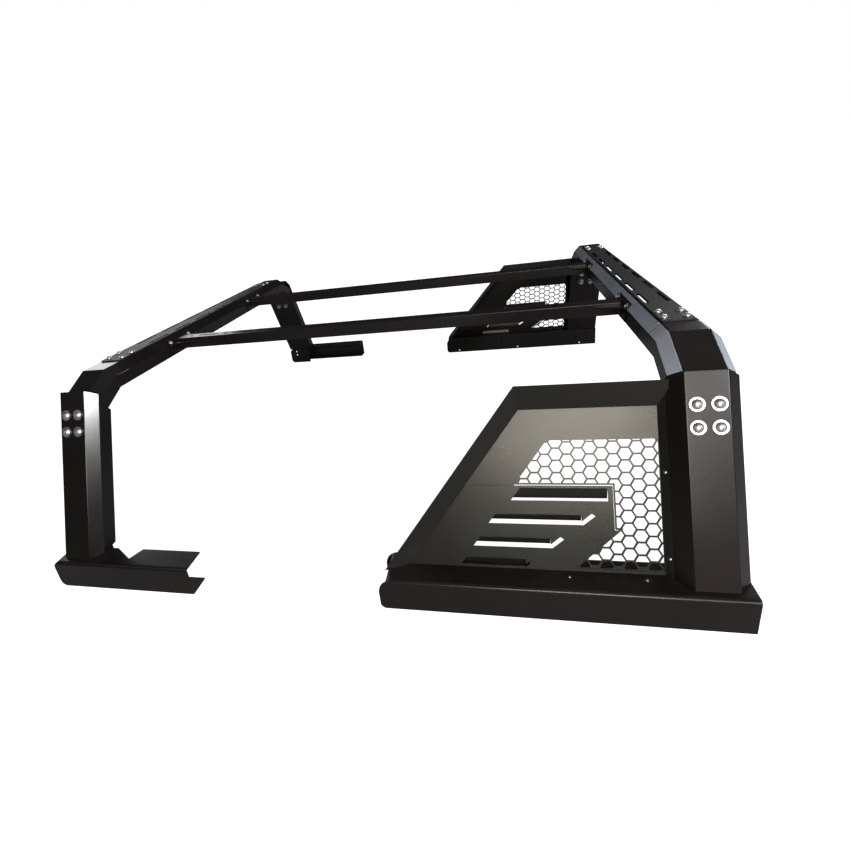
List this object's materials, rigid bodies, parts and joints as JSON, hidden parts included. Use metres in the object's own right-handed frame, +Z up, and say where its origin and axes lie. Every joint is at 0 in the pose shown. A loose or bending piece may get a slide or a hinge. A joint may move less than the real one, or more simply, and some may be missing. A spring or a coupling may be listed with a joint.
{
  "type": "headache rack",
  "caption": "Pickup bed headache rack: two bolted channel hoops on base channels, joined by slotted crossbars, with side sails of honeycomb mesh and louvres.",
  "frame": {"origin": "bottom centre of the rack, at the underside of the four bases", "axes": "+X towards the cab and the hoop with the sails, +Y to the left side, +Z up"},
  "size_m": [1.458, 1.642, 0.4692],
  "materials": {
    "powder_black": "fine-texture powder coat, satin",
    "powder_panel": "fine-texture powder coat, satin",
    "powder_plate": "fine-texture powder coat, matt",
    "strip_grey": "satin light grey paint",
    "stainless": "turned and tumbled stainless steel"
  },
  "bodies": {
    "root": {"bracket_bolts": "stainless", "crossbar_left": "powder_black", "crossbar_right": "powder_black", "front_base_left": "powder_black", "front_base_right": "powder_black", "front_beam": "powder_black", "front_bracket_left": "powder_black", "front_bracket_right": "powder_black", "front_elbow_left": "powder_black", "front_elbow_right": "powder_black", "front_side_strips": "strip_grey", "front_sleeve_left": "powder_black", "front_sleeve_right": "powder_black", "front_top_plate": "powder_plate", "joint_bolts": "stainless", "joint_nuts": "stainless", "joint_washers": "stainless", "leg_bolts": "stainless", "leg_nuts": "stainless", "leg_washers": "stainless", "louvre_blades_left": "powder_panel", "louvre_blades_right": "powder_panel", "louvre_plate_left": "powder_panel", "louvre_plate_right": "powder_panel", "rear_beam": "powder_black", "rear_bracket_left": "powder_black", "rear_bracket_right": "powder_black", "rear_elbow_left": "powder_black", "rear_elbow_right": "powder_black", "rear_foot_left": "powder_black", "rear_foot_right": "powder_black", "rear_sleeve_left": "powder_black", "rear_sleeve_right": "powder_black", "rear_top_plate": "powder_plate", "sail_mesh_left": "powder_panel", "sail_mesh_right": "powder_panel", "sail_panel_left": "powder_panel", "sail_panel_right": "powder_panel", "sail_screws": "stainless"}
  },
  "joints": []
}
